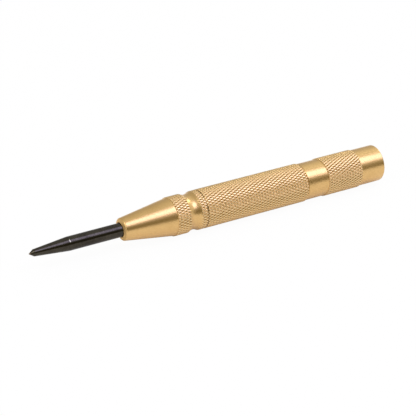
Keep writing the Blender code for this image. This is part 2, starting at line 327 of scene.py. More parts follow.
@dataclass(frozen=True)
class BrassFinish(MetalFinish):
    """Satin brass, darkened in the knurl's grooves by dirt and painted shade, pale on its crests from rubbed
    wear and a painted sheen, and dull at the mouth.
    """

    mark_gloss: float = 0.06
    grain_height: float = 0.017 * MM
    grain_range: Range = (0.45, 0.75)
    grain_share: float = 0.5
    smudge_range: Range = (0.45, 0.8)
    smudge_share: float = 0.3
    smudge_gloss: float = 0.08
    # Dirt with painted shade in the knurl's grooves and the thread roots
    dirt_and_shade_colour: Colour = (0.24, 0.11, 0.03)
    dirt_and_shade_range: Range = (0.15, 0.9)
    dirt_and_shade_share: float = 0.85
    # Rubbed wear with a painted sheen on the knurl's crests
    crest_wear_sheen_colour: Colour = (0.8, 0.62, 0.33)
    crest_wear_sheen_range: Range = (0.0, -0.6)
    knurl_roughness: float = 0.2
    lip_x: float = Span.of("nose_cone").start
    lip_length: float = 0.5 * MM
    lip_roughness: float = 0.2

    def surface(self, texture: Texture) -> tuple[Signal, Signal]:
        """Mixes the brass.

        Args:
            texture: what the finish is mixed from.

        Returns:
            The colour and the roughness.
        """
        graph = texture.graph
        # The knurl mark: dirt with painted shade in the grooves, rubbed wear with a painted sheen on the
        # crests
        dirt_shade_sheen = graph.node("ShaderNodeAttribute", {"attribute_name": DIRT_SHADE_SHEEN})["Fac"]
        grainy = graph.step(texture.grain, self.grain_range) * self.grain_share
        handled = graph.step(texture.smudge, self.smudge_range) * self.smudge_share
        clean = graph.mix(grainy + handled, self.colour, self.dark_colour)
        # Paler crests: rubbed wear with a painted sheen
        rubbed_with_sheen = graph.mix(graph.step(dirt_shade_sheen, self.crest_wear_sheen_range), clean, self.crest_wear_sheen_colour)
        # Darker grooves: dirt with painted shade
        dirt_and_shade = graph.step(dirt_shade_sheen, self.dirt_and_shade_range) * self.dirt_and_shade_share
        at_lip = graph.step(texture.axes["X"], (self.lip_x + self.lip_length, self.lip_x))
        dull = dirt_shade_sheen * dirt_shade_sheen * self.knurl_roughness + at_lip * self.lip_roughness
        return graph.mix(dirt_and_shade, rubbed_with_sheen, self.dirt_and_shade_colour), self.gloss(texture) + dull


@dataclass(frozen=True)
class BlackFinish(MetalFinish):
    """Black oxide, brown at the tip, with a pale nick at the end of the taper that is a painted glint where
    the highlight falls, and rubbed at the nose.
    """

    mark_gloss: float = 0.08
    grain_height: float = 0.004 * MM
    grain_gloss: float = 0.16
    mottle_range: Range = (0.4, 0.7)
    tip_colour: Colour = (0.2, 0.1, 0.04)
    tip_x: float = Span.of("punch_point").start
    tip_length: float = 0.7 * MM
    tip_share: float = 0.55
    tip_grain: float = 0.4
    # A painted glint: a pale nick at the end of the taper, kept to the side where the lamp's highlight falls
    glint_nick_colour: Colour = (0.36, 0.35, 0.24)
    glint_nick_place: float = 13.45 * MM
    glint_nick_width: float = 0.16 * MM
    glint_nick_edge: Range = (1.0, 0.3)
    glint_nick_side: tuple[float, float] = (-0.652, 0.758)
    glint_nick_reach: Range = (0.955, 0.985)
    rubbed_colour: Colour = (0.16, 0.15, 0.12)
    rubbed_x: float = Span.of("nose_cone").start
    rubbed_length: float = 2.5 * MM
    rubbed_marks: float = 0.5
    rubbed_range: Range = (0.75, 1.0)
    rubbed_share: float = 0.6

    def surface(self, texture: Texture) -> tuple[Signal, Signal]:
        """Mixes the oxide.

        Args:
            texture: what the finish is mixed from.

        Returns:
            The colour and the roughness.
        """
        graph, axes, marks, grain = texture.graph, texture.axes, texture.marks, texture.grain
        mottle = graph.step((texture.smudge + grain) * 0.5, self.mottle_range)
        oxide = graph.mix(mottle, self.colour, self.dark_colour)
        from_tip = axes["X"] - self.tip_x
        at_tip = graph.step(from_tip, (self.tip_length, 0.0)) * (self.tip_share + grain * self.tip_grain)
        browned = graph.mix(at_tip, oxide, self.tip_colour)
        # A painted glint: the nick is masked to a ring at the taper's end and to the side that faces the
        # highlight
        off = (from_tip - self.glint_nick_place) * (1.0 / self.glint_nick_width)
        across = axes["Y"] * self.glint_nick_side[0] + axes["Z"] * self.glint_nick_side[1]
        facing = across * texture.radius ** -1.0
        glint_nick = graph.step(off * off, self.glint_nick_edge) * graph.step(facing, self.glint_nick_reach)
        glint_nicked = graph.mix(glint_nick, browned, self.glint_nick_colour)
        near_mouth = graph.step(axes["X"], (self.rubbed_x - self.rubbed_length, self.rubbed_x))
        scuff = near_mouth * graph.step(grain + marks * self.rubbed_marks, self.rubbed_range)
        colour = graph.mix(scuff * self.rubbed_share, glint_nicked, self.rubbed_colour)
        uneven = (grain - MIDDLE) * self.grain_gloss + (marks - MIDDLE) * self.mark_gloss
        return colour, self.roughness + uneven


@dataclass
class Ring:
    """A row of points in a skin: the first one's number, how many, and its place on the map."""

    first: int
    size: int
    length: float


@dataclass
class Skin:
    """A closed surface made of rows of points, each joined to the next."""

    columns: int
    points: list[tuple[float, float, float]] = field(default_factory=list)
    # The knurl mark of each point: dirt with painted shade in grooves, wear with a painted sheen on crests
    dirt_shade_sheen: list[float] = field(default_factory=list)
    faces: list[list[int]] = field(default_factory=list)
    map: list[tuple[float, float]] = field(default_factory=list)
    rings: list[Ring] = field(default_factory=list)

    def circle(self, x: float, radius: float | np.ndarray, turn: float = 0.0) -> np.ndarray:
        """Points round the axis.

        Args:
            x: place along the axis.
            radius: one radius, or one for each column; 0 gives the single point on the axis.
            turn: angle of the first point.

        Returns:
            The places of one row.
        """
        if np.isscalar(radius) and radius == 0.0:
            return np.array([(x, 0.0, 0.0)])
        angles = turn + np.arange(self.columns) * (2 * math.pi / self.columns)
        along = np.full(self.columns, x)
        return np.column_stack((along, radius * np.cos(angles), radius * np.sin(angles)))

    def face(self, corners: list[Corner]) -> None:
        """Adds a face."""
        self.faces.append([number for number, _, _ in corners])
        self.map.extend((column / self.columns, length) for _, column, length in corners)

    def corner(self, ring: Ring, column: int) -> Corner:
        """The corner of a face at a column of a row; a single point serves every column."""
        number = ring.first if ring.size == 1 else ring.first + column % self.columns
        return number, float(column), ring.length

    def join(self, first: Ring, second: Ring, odd: int | None = None) -> None:
        """Fills the strip between two rows.

        Args:
            first: a row, or a single point.
            second: a row, or a single point.
            odd: if given, faces are split in two, neighbours along crossing diagonals, and this
                number says which way the first one runs.
        """
        for column in range(self.columns):
            low, low_next = self.corner(first, column), self.corner(first, column + 1)
            high, high_next = self.corner(second, column), self.corner(second, column + 1)
            if first.size == 1:
                self.face([low, high_next, high])
            elif second.size == 1:
                self.face([low, low_next, high])
            elif odd is None:
                self.face([low, low_next, high_next, high])
            elif (column + odd) % 2:
                self.face([low, low_next, high])
                self.face([low_next, high_next, high])
            else:
                self.face([low, low_next, high_next])
                self.face([low, high_next, high])

    def add(
        self,
        points: np.ndarray,
        dirt_shade_sheen: np.ndarray | None = None,
        odd: int | None = None,
        joined: bool = True,
    ) -> Ring:
        """Adds a row of points.

        Args:
            points: one place, or one for each column.
            dirt_shade_sheen: the knurl mark: 1 deep in a groove, for dirt and painted shade, 0 on a plain
                surface, -1 on a crest, for rubbed wear and a painted sheen.
            odd: as for join.
            joined: whether it is joined to the last row.

        Returns:
            The new row.
        """
        last = self.rings[-1] if self.rings else None
        length = 0.0
        if last:
            length = last.length + float(np.linalg.norm(points[0] - np.array(self.points[last.first])))
        made = Ring(len(self.points), len(points), length)
        self.points.extend(map(tuple, points))
        self.dirt_shade_sheen.extend(np.zeros(len(points)) if dirt_shade_sheen is None else dirt_shade_sheen)
        self.rings.append(made)
        if last and joined:
            self.join(last, made, odd)
        return made

    def turned(self, section: list[Station], turn: float = 0.0) -> None:
        """Adds a plain circle at each corner of a half section, its first point at an angle."""
        for x, radius in section:
            self.add(self.circle(x, radius, turn))

    def mesh(self, name: str) -> Mesh:
        """Makes the mesh, smooth but for its sharp edges.

        Args:
            name: the mesh's name.

        Returns:
            A closed mesh whose faces point out.
        """
        made = bpy.data.meshes.new(name)
        made.from_pydata(self.points, [], self.faces)
        whole = max(ring.length for ring in self.rings)
        layer = made.uv_layers.new(name=MAP_NAME)
        flat = [part for column, length in self.map for part in (column, length / whole)]
        layer.uv.foreach_set("vector", flat)
        # The knurl mark goes on as an attribute: dirt with painted shade, wear with a painted sheen
        made.attributes.new(DIRT_SHADE_SHEEN, "FLOAT", "POINT").data.foreach_set("value", self.dirt_shade_sheen)
        work = bmesh.new()
        work.from_mesh(made)
        bmesh.ops.recalc_face_normals(work, faces=work.faces)
        work.to_mesh(made)
        work.free()
        made.shade_smooth()
        made.set_sharp_from_angle(angle=SHARP_ANGLE)
        return made


def arc(centre: Station, radius: float, start: float, end: float, steps: int = ARC_STEPS) -> list[Station]:
    """Points on a circle in the half section.

    Args:
        centre: middle of the arc.
        radius: radius of the arc.
        start: first angle in degrees; 0 is towards the cap, 90 away from the axis.
        end: last angle in degrees.
        steps: how many parts.

    Returns:
        The points in order.
    """
    angles = np.radians(np.linspace(start, end, steps + 1))
    x, out = centre
    return [(x + radius * math.cos(angle), out + radius * math.sin(angle)) for angle in angles]


def soften(section: list[Station]) -> list[Station]:
    """Rounds the inner corners of a half section.

    Args:
        section: the corners in order; the two ends stay as they are.

    Returns:
        The section with a short curve at each corner.
    """
    corners = [Vector(station) for station in section]
    made = [corners[0]]
    for before, here, after in zip(corners, corners[1:], corners[2:]):
        back, ahead = before - here, after - here
        start = here + back.normalized() * min(CORNER_ROUND, CORNER_SHARE * back.length)
        end = here + ahead.normalized() * min(CORNER_ROUND, CORNER_SHARE * ahead.length)
        for step in range(CORNER_STEPS + 1):
            share = step / CORNER_STEPS
            made.append(start.lerp(here, share).lerp(here.lerp(end, share), share))
    return [tuple(station) for station in [*made, corners[-1]]]


@dataclass(frozen=True)
class Thread:
    """A right-hand 60 degree screw thread."""

    crest: float = 5.0 * MM
    pitch: float = 1.0 * MM
    depth: float = 0.6 * MM
    flank_angle: float = 30.0
    crest_share: float = 0.125
    relief: float = 0.65 * MM
    end_break: float = 0.2 * MM
    end_margin: float = 0.05 * MM

    @property
    def root(self) -> float:
        """Radius at the bottom of the groove."""
        return self.crest - self.depth

    def corners(self) -> list[tuple[float, float]]:
        """The corners of the thread over one pitch.

        Returns:
            The (share of the pitch, radius) of each.
        """
        flank = self.depth * math.tan(math.radians(self.flank_angle)) / self.pitch
        rear = flank + self.crest_share
        return [(0.0, self.root), (flank, self.crest), (rear, self.crest), (rear + flank, self.root)]

    def cut(self, skin: Skin, end_x: float) -> None:
        """Winds the thread on from the skin's last row, which is a plain circle at the root.

        Args:
            skin: the piece's surface.
            end_x: where the thread ends, in another plain circle at the root.
        """
        first = skin.rings[-1]
        start_x = skin.points[first.first][0]
        way = 1.0 if end_x > start_x else -1.0
        extent = abs(end_x - start_x)
        turns = math.ceil(extent / self.pitch) + 1
        corners = self.corners()
        per_turn = len(corners)
        rows: list[list[tuple[float, Corner]]] = []
        for column in range(skin.columns):
            angle = 2 * math.pi * column / skin.columns
            across, up = math.cos(angle), math.sin(angle)
            row = [(-math.inf, skin.corner(first, column))]
            for turn in range(-1, turns):
                for number, (share, radius) in enumerate(corners):
                    gone = self.pitch * (turn + share + way * column / skin.columns)
                    if self.end_margin < gone < extent - self.end_margin:
                        corner = (len(skin.points), column, first.length + gone)
                        row.append((turn * per_turn + number, corner))
                        skin.points.append((start_x + way * gone, radius * across, radius * up))
                        # The thread's roots take the groove mark: dirt with painted shade
                        skin.dirt_shade_sheen.append(1.0 - (radius - self.root) / self.depth)
            rows.append(row)
        last = skin.add(skin.circle(end_x, self.root), joined=False)
        for column, row in enumerate(rows):
            row.append((math.inf, skin.corner(last, column)))
        whole = skin.columns
        rows.append([(key - way * per_turn, (point, whole, length)) for key, (point, _, length) in rows[0]])
        for left, right in zip(rows, rows[1:]):
            self._zip(skin, left, right)

    @staticmethod
    def _zip(skin: Skin, left: list[tuple[float, Corner]], right: list[tuple[float, Corner]]) -> None:
        """Joins two neighbouring columns whose points match by key.

        Args:
            skin: the piece's surface.
            left: the (key, corner) of each point down the left column.
            right: the same down the right column.
        """
        left_at, right_at = 0, 0
        while left[left_at][0] < math.inf:
            corners = [left[left_at][1], right[right_at][1]]
            left_key, left_corner = left[left_at + 1]
            right_key, right_corner = right[right_at + 1]
            if right_key <= left_key:
                right_at += 1
                corners.append(right_corner)
            if left_key <= right_key:
                left_at += 1
                corners.append(left_corner)
            skin.face(corners)


@dataclass(frozen=True)
class Knurl:
    """A diamond knurl: two crossing hands of grooves pressed into a band.

    The points lie on a grid whose diagonals follow both hands, so every ridge and groove is an edge.
    """

    crest: float
    rising_depth: float = 0.13 * MM
    falling_depth: float = 0.115 * MM
    steepness: int = 6
    starts: int = 40
    rising_rate: float = 0.43 / MM
    falling_rate: float = 0.498 / MM
    steps: int = 8
    edge: float = 0.12 * MM
    least_row: float = 0.2

    @property
    def columns(self) -> int:
        """How many points go round."""
        return self.starts * self.steps

    @property
    def row_length(self) -> float:
        """Distance between two rows of points."""
        return 2.0 / (self.steps * (self.rising_rate + self.falling_rate))

    def twist(self, along: float) -> float:
        """Angle by which a column has turned at a distance along the band."""
        return (self.falling_rate - self.rising_rate) / 2 * along * 2 * math.pi / self.starts

    def groove(self, phase: np.ndarray) -> np.ndarray:
        """Depth share of one hand: 1 in the groove, falling steeply to 0 on the flat crest."""
        return np.abs(2.0 * (phase % 1.0) - 1.0) ** self.steepness

    def cut(self, along: float) -> tuple[np.ndarray, np.ndarray]:
        """The grooves across one row of points.

        Args:
            along: distance from the start of the band.

        Returns:
            For each column the depth below the crest, and the knurl mark: 1 where grooves cross, for dirt
            and painted shade, -1 on a crest, for wear and a painted sheen.
        """
        around = np.arange(self.columns) / self.steps
        ahead = along * (self.rising_rate + self.falling_rate) / 2
        falling, rising = around - ahead, around + ahead
        falling_cut = self.falling_depth * self.groove(falling)
        rising_cut = self.rising_depth * self.groove(rising)
        share = self.rising_depth / (self.rising_depth + self.falling_depth)
        # The knurl mark: near 1 where the grooves cross, for dirt and painted shade, near -1 on the crests,
        # for wear and a painted sheen
        dirt_shade_sheen = share * np.cos(2 * math.pi * rising) + (1.0 - share) * np.cos(2 * math.pi * falling)
        return np.maximum(falling_cut, rising_cut), dirt_shade_sheen

    def roll(self, skin: Skin, envelope: list[Station]) -> float:
        """Adds the knurled band to a skin.

        Args:
            skin: the piece's surface, with as many columns as the knurl.
            envelope: the turned outline that the knurl stays inside, from the band's start to its end.

        Returns:
            The angle of the columns at the band's end.
        """
        places, radii = np.array(envelope).T
        start = places[0]
        length = places[-1] - start
        fixed = [0.0, self.edge, length - self.edge, length]
        least = self.row_length * self.least_row
        rows = np.arange(0.0, length, self.row_length)
        rows = [row for row in rows if min(abs(row - place) for place in fixed) > least]
        last = None
        for along in sorted([*rows, *fixed]):
            depth, dirt_shade_sheen = self.cut(along)
            outline = np.interp(start + along, places, radii)
            radius = np.minimum(self.crest - depth, outline)
            # Where the turned groove cuts the knurl away, the mark of dirt with painted shade and painted
            # sheen is left off
            dirt_shade_sheen = np.where(self.crest - self.rising_depth < outline, dirt_shade_sheen, 0.0)
            odd = 0 if last is None else int((along + last) / 2 // self.row_length)
            skin.add(skin.circle(start + along, radius, self.twist(along)), dirt_shade_sheen, odd)
            last = along
        return self.twist(length)


@dataclass
class SubAssembly:
    """Pieces that are built and dressed together, with the finish of each slot."""

    finishes: dict[Slot, Material]
    pieces: list[Object] = field(default_factory=list)

    def turn(self, name: str, section: list[Station]) -> Mesh:
        """Turns a half section that starts and ends on the axis.

        Args:
            name: the mesh's name.
            section: the corners of the half section.

        Returns:
            The closed mesh.
        """
        skin = Skin(PLAIN_COLUMNS)
        skin.turned(soften(section))
        return skin.mesh(name)

    def place(self, mesh: Mesh, node: str, slot: Slot) -> Object:
        """Puts a piece in the scene in the place of its CAD node.

        Args:
            mesh: the piece's mesh, drawn about the tool's axis.
            node: the CAD node that it stands for.
            slot: the material slot of its finish.

        Returns:
            The piece's object, which follows no body yet.
        """
        piece = bpy.data.objects.new(mesh.name, mesh)
        mesh.materials.append(self.finishes[slot])
        piece.location = AXIS
        bpy.context.scene.collection.objects.link(piece)
        if slot is not Slot.SPRING:
            piece.modifiers.new("even_shading", "WEIGHTED_NORMAL").keep_sharp = True
        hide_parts(node)
        self.pieces.append(piece)
        return piece

    def fit(self, mesh: Mesh, node: str, body: Body, slot: Slot) -> Object:
        """Places a stiff piece as place does, and fixes it to its body."""
        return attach(self.place(mesh, node, slot), body.value)


@dataclass
class Coil:
    """A round wire wound round the axis, with a close turn at each end."""

    start: float
    end: float
    front_radius: float
    rear_radius: float
    wire: float
    turns: int
    end_gap: float = 0.5 * MM
    points_per_turn: int = 32
    sides: int = 12

    def middle(self) -> np.ndarray:
        """The middle line of the wire.

        Returns:
            One point a row.
        """
        turn = np.linspace(0.0, self.turns, self.turns * self.points_per_turn + 1)
        end_pitch = 2 * self.wire + self.end_gap
        open_pitch = (self.end - self.start - 2 * self.wire - 2 * end_pitch) / (self.turns - 2)
        near_end = np.minimum(turn, 1.0) + np.maximum(turn - self.turns + 1.0, 0.0)
        along = end_pitch * near_end + open_pitch * np.clip(turn - 1.0, 0.0, self.turns - 2.0)
        radius = self.front_radius + (self.rear_radius - self.front_radius) * turn / self.turns
        angle = 2 * math.pi * turn
        x = self.start + self.wire + along
        return np.column_stack((x, radius * np.cos(angle), radius * np.sin(angle)))

    def mesh(self, name: str, first: int, last: int) -> Mesh:
        """Sweeps the wire along some of its turns.

        Args:
            name: the mesh's name.
            first: the turn to start at.
            last: the turn to stop at.

        Returns:
            The closed mesh.
        """
        middle = self.middle()
        ahead = np.gradient(middle, axis=0)
        ahead /= np.linalg.norm(ahead, axis=1)[:, None]
        outward = middle * (0.0, 1.0, 1.0)
        sideways = np.cross(ahead, outward)
        sideways /= np.linalg.norm(sideways, axis=1)[:, None]
        outward = np.cross(sideways, ahead)
        angles = 2 * math.pi * np.arange(self.sides) / self.sides
        part = slice(first * self.points_per_turn, last * self.points_per_turn + 1)
        skin = Skin(self.sides)
        skin.add(middle[part][:1])
        for point, out, side in zip(middle[part], outward[part], sideways[part]):
            skin.add(point + self.wire * (np.outer(np.cos(angles), out) + np.outer(np.sin(angles), side)))
        skin.add(middle[part][-1:])
        return skin.mesh(name)


@dataclass
class PointGroup(SubAssembly):
    """The black point and its return spring."""

    span: Span = Span.of("punch_point")
    spring_span: Span = Span.of("return_spring")
    tip_round: float = 0.12 * MM
    tip_angle: float = 34.0
    tip_radius: float = 1.15 * MM
    taper_length: float = 11.85 * MM
    shank_radius: float = 2.3 * MM
    flange_radius: float = 2.9 * MM
    flange_thickness: float = 1.5 * MM
    tail_radius: float = 1.4 * MM
    tail_length: float = 5.0 * MM
    cup_depth: float = 0.6 * MM
    edge: float = 0.2 * MM
    wire: float = 0.25 * MM
    front_coil: float = 1.95 * MM
    rear_coil: float = 2.65 * MM
    turns: int = 8
    stroke: float = 8.0 * MM

    def point(self) -> None:
        """Builds the point, from its tip to the cup that holds the trip pin."""
        tip, end = self.span.start, self.span.end
        tail = end - self.tail_length
        flange = tail - self.flange_thickness
        wide, stem = self.flange_radius, self.tail_radius
        blunt = (tip + self.tip_round, 0.0)
        section = arc(blunt, self.tip_round, 180.0, 90.0 + self.tip_angle, CORNER_STEPS)
        section[0] = (tip, 0.0)
        blunt_x, blunt_radius = section[-1]
        shoulder = blunt_x + (self.tip_radius - blunt_radius) / math.tan(math.radians(self.tip_angle))
        shank = shoulder + self.taper_length
        section += [(shoulder, self.tip_radius), (shank, self.shank_radius), (flange, self.shank_radius)]
        section += [(flange, wide), (tail, wide), (tail, stem), (end, stem)]
        section += [(end, stem - self.edge), (end - self.cup_depth, 0.0)]
        self.fit(self.turn("black_point", section), "punch_point", Body.POINT, Slot.BLACK)

    def spring(self) -> None:
        """Winds the return spring."""
        start, end = self.spring_span.start, self.spring_span.end
        coil = Coil(start, end, self.front_coil, self.rear_coil, self.wire, self.turns)
        mesh = coil.mesh("return_coil", 0, self.turns)
        piece = self.fit(mesh, "return_spring", Body.HOUSING, Slot.SPRING)
        keep = 1.0 - self.stroke / (end - start)
        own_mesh(piece)

    def build(self) -> None:
        """Builds both pieces."""
        self.point()
        self.spring()


@dataclass
class Nose(SubAssembly):
    """The brass cone that guides the point."""

    span: Span = Span.of("nose_cone")
    knurl: Knurl = Knurl(crest=6.45 * MM, rising_depth=0.1 * MM, falling_depth=0.12 * MM)
    thread: Thread = Thread()
    thread_length: float = 6.5 * MM
    mouth_radius: float = 3.75 * MM
    mouth_round: float = 0.6 * MM
    mouth_slant: float = 22.0
    mouth_chamfer: float = 0.12 * MM
    cone_length: float = 17.6 * MM
    cone_radius: float = 6.2 * MM
    band_length: float = 4.8 * MM
    groove_width: float = 4.2 * MM
    groove_depth: float = 0.62 * MM
    seam_depth: float = 0.25 * MM
    seam_step: float = 0.12 * MM
    guide_length: float = 14.8 * MM
    guide_radius: float = 2.42 * MM
    chamber_radius: float = 3.2 * MM

    def groove(self, start: float) -> list[Station]:
        """The turned groove behind the knurled band.

        Args:
            start: where the groove starts.

        Returns:
            Its hollow arc, from edge to edge.
        """
        half = self.groove_width / 2
        radius = (half**2 + self.groove_depth**2) / (2 * self.groove_depth)
        sweep = math.degrees(math.asin(half / radius))
        centre = (start + half, self.knurl.crest - self.groove_depth + radius)
        return arc(centre, radius, 270.0 - sweep, 270.0 + sweep, 2 * ARC_STEPS)

    def cone(self, mouth: float, band: float) -> list[Station]:
        """The slanted lip, its rounded edge and the cone.

        Args:
            mouth: where the rounded edge starts.
            band: where the knurled band starts.

        Returns:
            The outline from the bore to the band.
        """
        slope = math.atan2(self.cone_radius - self.mouth_radius, self.cone_length - self.mouth_round)
        centre = (mouth + self.mouth_round, self.mouth_radius - self.mouth_round)
        edge = arc(centre, self.mouth_round, 180.0 - self.mouth_slant, 90.0 + math.degrees(slope))
        lip_x, lip_radius = edge[0]
        bore_edge = self.guide_radius + self.mouth_chamfer / 2
        front = lip_x - (lip_radius - bore_edge) * math.tan(math.radians(self.mouth_slant))
        cone = soften([edge[-1], (band - LAND, self.cone_radius), (band, self.cone_radius)])
        return [(front, bore_edge), *edge, *cone[1:-1]]

    def build(self) -> None:
        """Builds the nose in one skin: lip, cone, knurl, groove and thread, then back through the bore."""
        mouth, end = self.span.start, self.span.end
        rear = end - self.thread_length + CLOSER
        band = mouth + self.cone_length
        edge, crest, root = self.knurl.edge, self.knurl.crest, self.thread.root
        cone = self.cone(mouth, band)
        front, _ = cone[0]
        skin = Skin(self.knurl.columns)
        skin.turned(cone)
        envelope = [(band, self.cone_radius), (band + edge, crest)]
        envelope += [*self.groove(band + self.band_length), (rear - edge, crest), (rear, crest - edge)]
        self.knurl.roll(skin, envelope)
        seam_end, seam_radius = rear + self.seam_step, crest - self.seam_depth
        relief, screw_end = rear + self.thread.relief, end - self.thread.end_break
        skin.turned([(rear, seam_radius), (seam_end, seam_radius), (seam_end, root), (relief, root)])
        self.thread.cut(skin, screw_end)
        guide_end = mouth + self.guide_length
        inside = [(screw_end, root), (end, root - self.thread.end_break)]
        inside += [(end, self.chamber_radius), (guide_end, self.chamber_radius)]
        inside += [(guide_end, self.guide_radius), (front + self.mouth_chamfer, self.guide_radius)]
        skin.turned(soften(inside)[1:])
        skin.join(skin.rings[-1], skin.rings[0])
        self.fit(skin.mesh("brass_nose"), "nose_cone", Body.HOUSING, Slot.BRASS)


@dataclass
class Grip(SubAssembly):
    """The knurled barrel."""

    span: Span = Span.of("barrel")
    knurl: Knurl = Knurl(crest=AXIS_Z)
    pocket_radius: float = 5.3 * MM
    nose_pocket: float = 6.85 * MM
    cap_pocket: float = 7.35 * MM
    bore_radius: float = 4.6 * MM
    web_thickness: float = 3.0 * MM
    web_hole: float = 2.36 * MM
    countersink: float = 0.7 * MM

    def build(self) -> None:
        """Builds the barrel in one skin: knurled outside, then back through its pockets and the web."""
        start, end = self.span.start - CLOSER, self.span.end + CLOSER
        edge, crest = self.knurl.edge, self.knurl.crest
        pocket, bore, hole = self.pocket_radius, self.bore_radius, self.web_hole
        web = self.span.start + self.nose_pocket
        web_end = web + self.web_thickness
        ledge = self.span.end - self.cap_pocket
        skin = Skin(self.knurl.columns)
        envelope = [(start, crest - edge), (start + edge, crest), (end - edge, crest), (end, crest - edge)]
        self.knurl.roll(skin, envelope)
        inside = [(end, crest - edge), (end, pocket), (ledge, pocket), (ledge, bore)]
        inside += [(web_end, bore), (web_end, hole), (web + self.countersink, hole)]
        inside += [(web, hole + self.countersink), (web, pocket), (start, pocket), (start, crest - edge)]
        skin.turned(soften(inside)[1:-1])
        skin.join(skin.rings[-1], skin.rings[0])
        self.fit(skin.mesh("knurled_grip"), "barrel", Body.HOUSING, Slot.BRASS)


@dataclass
class Works(SubAssembly):
    """The hammer and the leaning pin that trips it."""

    hammer_span: Span = Span.of("hammer")
    hammer_radius: float = 4.3 * MM
    hole_radius: float = 1.6 * MM
    hole_depth: float = 11.0 * MM
    nub_radius: float = 2.0 * MM
    nub_length: float = 2.0 * MM
    edge: float = 0.2 * MM
    pin_length: float = 17.45 * MM
    pin_nose: float = 0.4 * MM
    pin_nose_length: float = 0.6 * MM
    stem_radius: float = 1.3 * MM
    shoulder_step: float = 0.25 * MM
    shoulder_end: float = 6.15 * MM
    shoulder_length: float = 2.5 * MM
    shoulder_taper: float = 1.2 * MM

    def hammer(self) -> None:
        """Builds the hammer, drilled for the pin and with a nub that centres the spring."""
        start, nub_end = self.hammer_span.start, self.hammer_span.end
        end = nub_end - self.nub_length
        hole_end = start + self.hole_depth
        wide, nub, edge = self.hammer_radius, self.nub_radius, self.edge
        section = [(hole_end, 0.0), (hole_end, self.hole_radius), (start, self.hole_radius)]
        section += [(start, wide - edge), (start + edge, wide), (end - edge, wide), (end, wide - edge)]
        section += [(end, nub), (nub_end - edge, nub), (nub_end, nub - edge), (nub_end, 0.0)]
        self.fit(self.turn("hammer_weight", section), "hammer", Body.STRIKER, Slot.HARD)

    def pin(self) -> None:
        """Builds the trip pin, which leans by its joint's range."""
        joint = next(joint for joint in frame["joints"] if joint["name"] == "pin_align")
        stem, end, edge = self.stem_radius, self.pin_length, self.edge
        wide = stem + self.shoulder_step
        shoulder = self.shoulder_end - self.shoulder_length
        section = [(0.0, 0.0), (0.0, self.pin_nose), (self.pin_nose_length, stem), (shoulder, stem)]
        section += [(shoulder + self.shoulder_step, wide), (self.shoulder_end, wide)]
        section += [(self.shoulder_end + self.shoulder_taper, stem)]
        section += [(end - edge, stem), (end, stem - edge), (end, 0.0)]
        lean = Matrix.Rotation(math.radians(joint["range_deg"][1]), 4, "Y")
        mesh = self.turn("leaning_pin", section)
        mesh.transform(Matrix.Translation(Vector(joint["pos_m"]) - AXIS) @ lean)
        self.fit(mesh, "trip_pin", Body.PIN, Slot.HARD)

    def build(self) -> None:
        """Builds both pieces."""
        self.pin()
        self.hammer()


